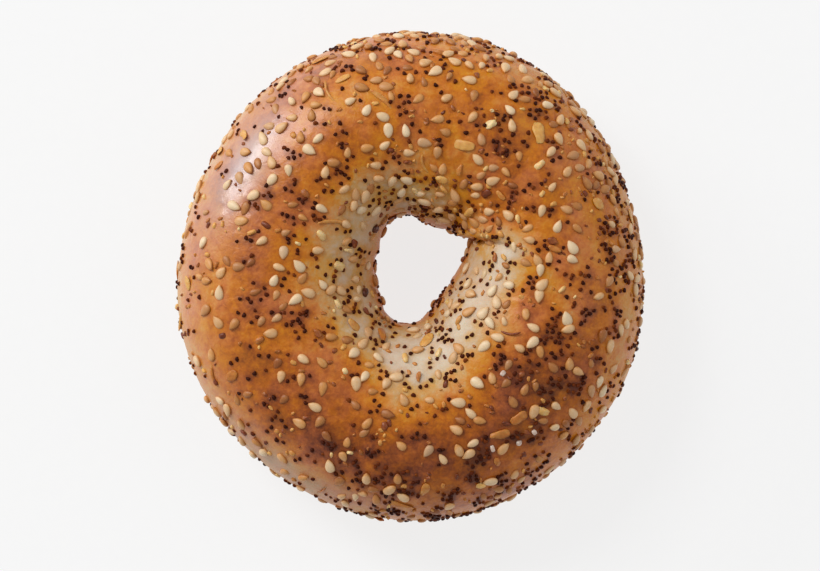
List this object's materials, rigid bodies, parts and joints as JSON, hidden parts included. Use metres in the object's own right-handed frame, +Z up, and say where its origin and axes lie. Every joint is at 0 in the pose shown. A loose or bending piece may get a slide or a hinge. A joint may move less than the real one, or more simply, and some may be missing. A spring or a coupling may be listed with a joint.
{
  "type": "bagel",
  "caption": "Plump ring-shaped bread roll with an off-round centre hole, a baked golden crust and a topping of sesame, poppy seeds, onion flakes and coarse salt.",
  "frame": {"origin": "middle of the flat base, on the surface that the bagel lies on", "axes": "+Z up along the hole, +Y along the longer way across, which was the top of the picture seen from above, +X to the right of it"},
  "size_m": [0.1133, 0.1186, 0.0405],
  "materials": {
    "crust": "satin",
    "sesame": "satin",
    "poppy": "satin",
    "onion": "matte",
    "salt": "satin"
  },
  "bodies": {
    "root": {"bagel": "crust"}
  },
  "joints": []
}
